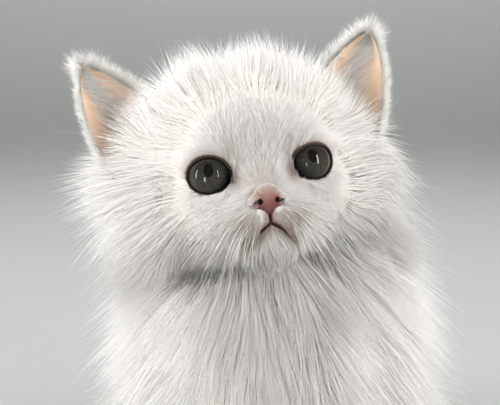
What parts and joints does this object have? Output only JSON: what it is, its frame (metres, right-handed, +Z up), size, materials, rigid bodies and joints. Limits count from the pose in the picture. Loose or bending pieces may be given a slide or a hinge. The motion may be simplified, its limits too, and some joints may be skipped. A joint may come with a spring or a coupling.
{
  "type": "persian kitten",
  "caption": "Still, life-size white long-haired kitten that sits upright with a round, tilted head, flat face, leaf-like locks of coat and curled tail.",
  "frame": {"origin": "on the floor, under the middle of the whole kitten's box", "axes": "+Z up, and the kitten faces -Y; its own left side is towards +X"},
  "size_m": [0.1484, 0.1444, 0.1652],
  "materials": {
    "coat": "matt",
    "ear_skin": "matt",
    "nose_leather": "satin",
    "eye": "gloss"
  },
  "bodies": {
    "root": {"head": "coat", "nose": "nose_leather", "eye_left": "eye", "eye_right": "eye", "ear_left": "ear_skin", "ear_right": "ear_skin", "neck": "coat", "torso": "coat", "forepaw_left": "coat", "foreleg_left": "coat", "thigh_left": "coat", "hindpaw_left": "coat", "forepaw_right": "coat", "foreleg_right": "coat", "thigh_right": "coat", "hindpaw_right": "coat", "tail_root": "coat", "tail_middle": "coat", "tail_tip": "coat"}
  },
  "joints": []
}
